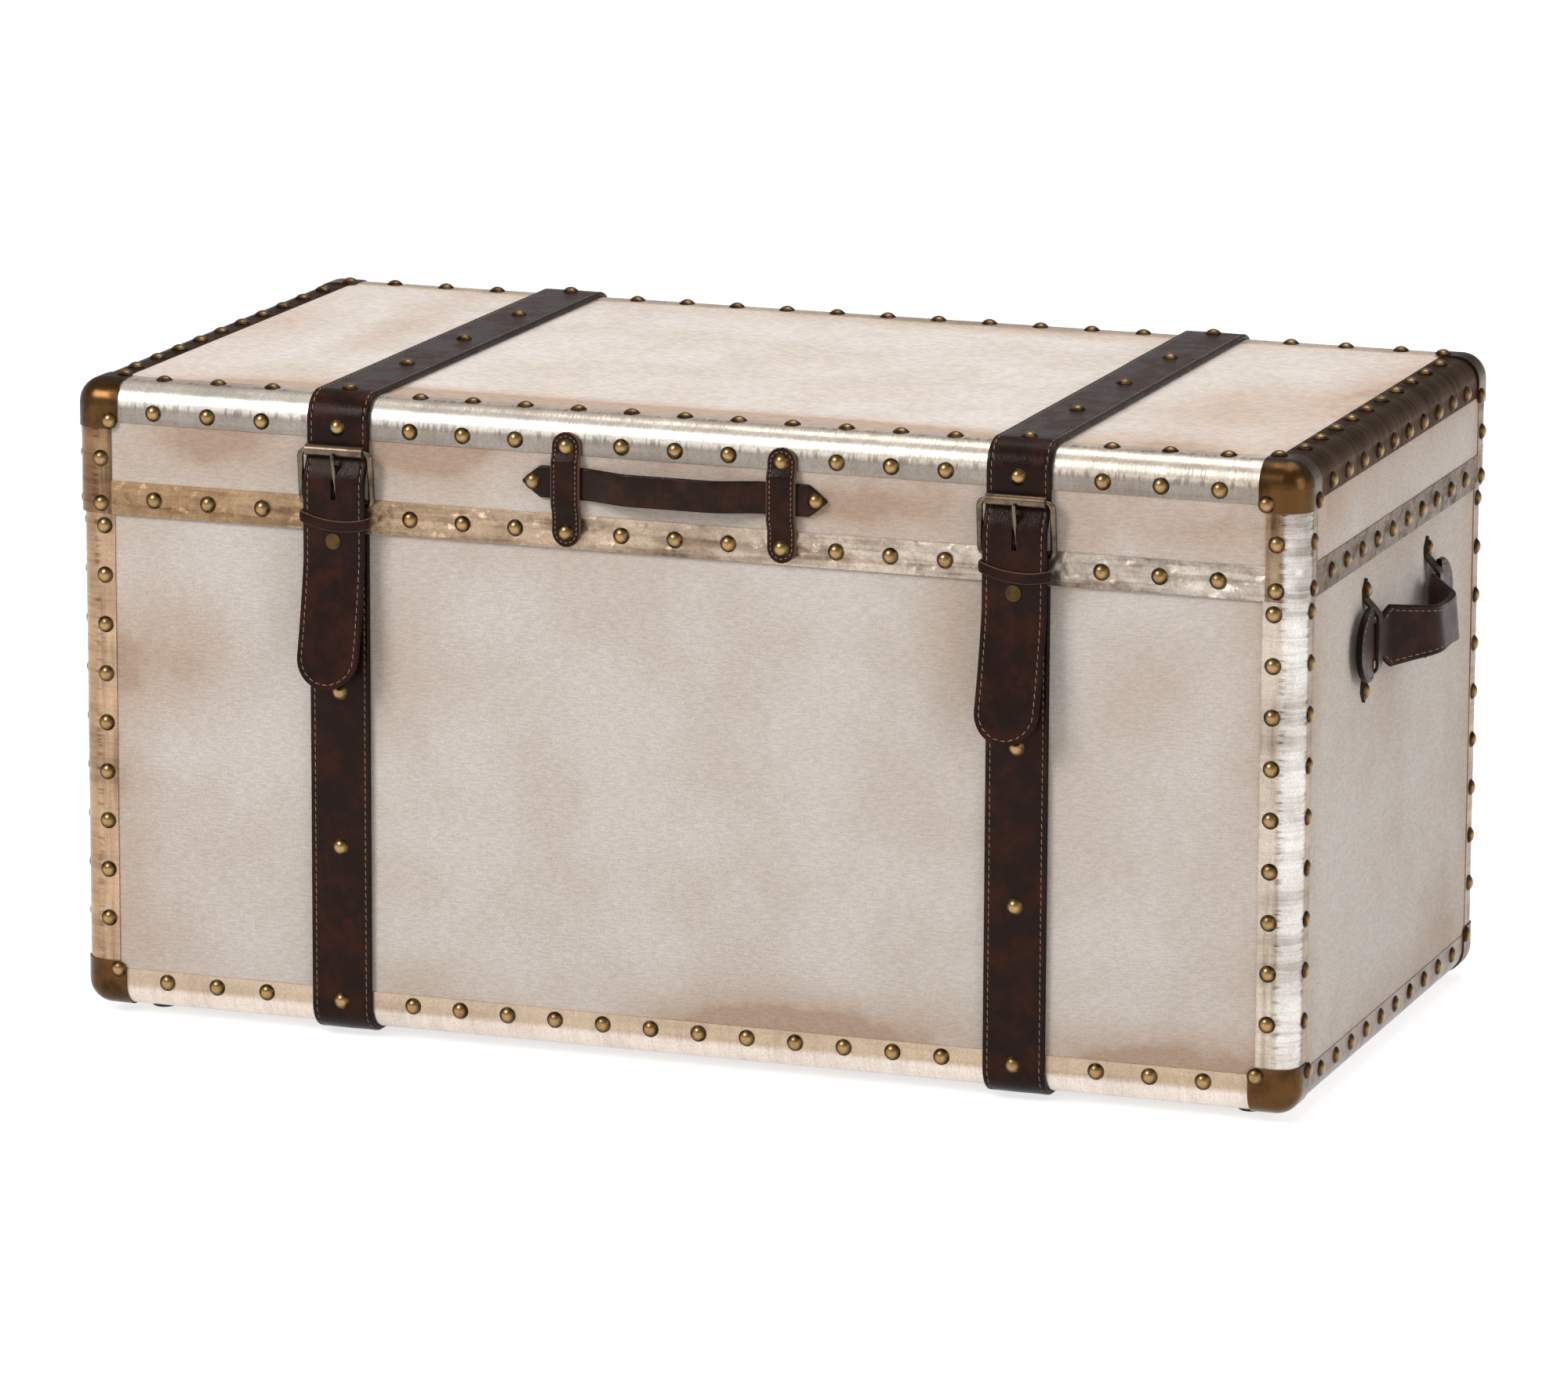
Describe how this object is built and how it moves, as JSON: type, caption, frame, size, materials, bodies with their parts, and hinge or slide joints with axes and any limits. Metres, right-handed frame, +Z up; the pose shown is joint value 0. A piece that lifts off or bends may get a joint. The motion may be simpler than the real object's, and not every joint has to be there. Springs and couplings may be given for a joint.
{
  "type": "storage trunk",
  "caption": "Canvas-covered storage trunk with metal edging, dome nails, corner caps, a hinged lid with stays, two buckled leather straps and leather carrying handles.",
  "frame": {"origin": "on the floor, below the middle of the whole trunk's outside box, with the lid closed", "axes": "+X along the front to the end on the right in the picture, +Y to the back where the hinges are, +Z up"},
  "size_m": [0.8672, 0.4416, 0.4142],
  "materials": {
    "canvas": "coarse off-white twill, stained along its edges",
    "lining": "matt plain cloth",
    "board": "sanded plywood",
    "edging": "crinkled champagne-coloured sheet",
    "cap": "aged brass",
    "nail": "aged brass",
    "leather": "dark brown, waxed",
    "buckle": "dark aged brass",
    "snap": "aged brass",
    "hinge": "antique plated",
    "foot": "black"
  },
  "bodies": {
    "body": {"body_front_board": "board", "body_back_board": "board", "body_left_board": "board", "body_right_board": "board", "body_bottom_board": "board", "body_canvas": "canvas", "body_lining": "lining", "body_corner_trims": "edging", "bottom_long_trims": "edging", "bottom_end_trims": "edging", "bottom_corner_caps": "cap", "feet": "foot", "body_strap_left": "leather", "body_strap_right": "leather", "snap_studs": "snap", "handle_loops_left": "cap", "handle_loops_right": "cap", "hinge_body_leaves": "hinge", "hinge_pins": "hinge", "body_screws": "hinge", "body_nails": "nail", "stay_body_brackets": "hinge"},
    "lid": {"lid_top_board": "board", "lid_front_board": "board", "lid_back_board": "board", "lid_left_board": "board", "lid_right_board": "board", "lid_canvas": "canvas", "lid_lining": "lining", "lid_corner_trims": "edging", "top_long_trims": "edging", "top_end_trims": "edging", "top_corner_caps": "cap", "lid_band": "edging", "lid_strap_left": "leather", "lid_strap_right": "leather", "strap_keepers": "leather", "buckle_chapes": "leather", "front_handle": "leather", "front_handle_retainers": "leather", "hinge_lid_leaves": "hinge", "lid_screws": "hinge", "lid_nails": "nail", "stay_lid_brackets": "hinge"},
    "strap_tail_left": {"strap_tail_left": "leather", "snap_cap_left": "snap"},
    "strap_tail_right": {"strap_tail_right": "leather", "snap_cap_right": "snap"},
    "buckle_frame_left": {"buckle_frame_left": "buckle"},
    "buckle_frame_right": {"buckle_frame_right": "buckle"},
    "buckle_roller_left": {"buckle_roller_left": "buckle"},
    "buckle_roller_right": {"buckle_roller_right": "buckle"},
    "buckle_prong_left": {"buckle_prong_left": "buckle"},
    "buckle_prong_right": {"buckle_prong_right": "buckle"},
    "side_handle_left": {"side_handle_left": "leather"},
    "side_handle_right": {"side_handle_right": "leather"},
    "stay_lower": {"stay_lower_arms": "hinge"},
    "stay_upper": {"stay_upper_arms": "hinge"}
  },
  "joints": [
    {"name": "lid_hinge", "type": "hinge", "parent": "body", "child": "lid", "pos_m": [0, 0.2176, 0.3242], "axis": [-1, 0, 0], "range_deg": [0, 95]},
    {"name": "stay_lower_pivot", "type": "hinge", "parent": "body", "child": "stay_lower", "pos_m": [0, 0.1376, 0.2742], "axis": [-1, 0, 0], "range_deg": [0, 95]},
    {"name": "stay_knee", "type": "hinge", "parent": "stay_lower", "child": "stay_upper", "pos_m": [0, -0.0024, 0.3042], "axis": [-1, 0, 0], "range_deg": [-95, 0]},
    {"name": "strap_tail_left_flex", "type": "hinge", "parent": "lid", "child": "strap_tail_left", "pos_m": [-0.221, -0.2107, 0.3244], "axis": [-1, 0, 0], "range_deg": [0, 60]},
    {"name": "buckle_frame_left_heel", "type": "hinge", "parent": "lid", "child": "buckle_frame_left", "pos_m": [-0.221, -0.2054, 0.3414], "axis": [1, 0, 0], "range_deg": [0, 5]},
    {"name": "buckle_roller_left_spin", "type": "hinge", "parent": "buckle_frame_left", "child": "buckle_roller_left", "pos_m": [-0.221, -0.209, 0.37621], "axis": [1, 0, 0], "continuous": true},
    {"name": "buckle_prong_left_pivot", "type": "hinge", "parent": "buckle_frame_left", "child": "buckle_prong_left", "pos_m": [-0.221, -0.2054, 0.3414], "axis": [1, 0, 0], "range_deg": [0, 5]},
    {"name": "side_handle_left_lift", "type": "hinge", "parent": "body", "child": "side_handle_left", "pos_m": [-0.4066, 0.0062, 0.263], "axis": [0, 1, 0], "range_deg": [0, 7]},
    {"name": "strap_tail_right_flex", "type": "hinge", "parent": "lid", "child": "strap_tail_right", "pos_m": [0.221, -0.2107, 0.3244], "axis": [-1, 0, 0], "range_deg": [0, 60]},
    {"name": "buckle_frame_right_heel", "type": "hinge", "parent": "lid", "child": "buckle_frame_right", "pos_m": [0.221, -0.2054, 0.3414], "axis": [1, 0, 0], "range_deg": [0, 5]},
    {"name": "buckle_roller_right_spin", "type": "hinge", "parent": "buckle_frame_right", "child": "buckle_roller_right", "pos_m": [0.221, -0.209, 0.37621], "axis": [1, 0, 0], "continuous": true},
    {"name": "buckle_prong_right_pivot", "type": "hinge", "parent": "buckle_frame_right", "child": "buckle_prong_right", "pos_m": [0.221, -0.2054, 0.3414], "axis": [1, 0, 0], "range_deg": [0, 5]},
    {"name": "side_handle_right_lift", "type": "hinge", "parent": "body", "child": "side_handle_right", "pos_m": [0.4066, 0.0062, 0.263], "axis": [0, -1, 0], "range_deg": [0, 7]}
  ],
  "couplings": [
    {"joint": "stay_lower_pivot", "follows": "lid_hinge", "ratio": 1},
    {"joint": "stay_knee", "follows": "lid_hinge", "ratio": -1}
  ]
}
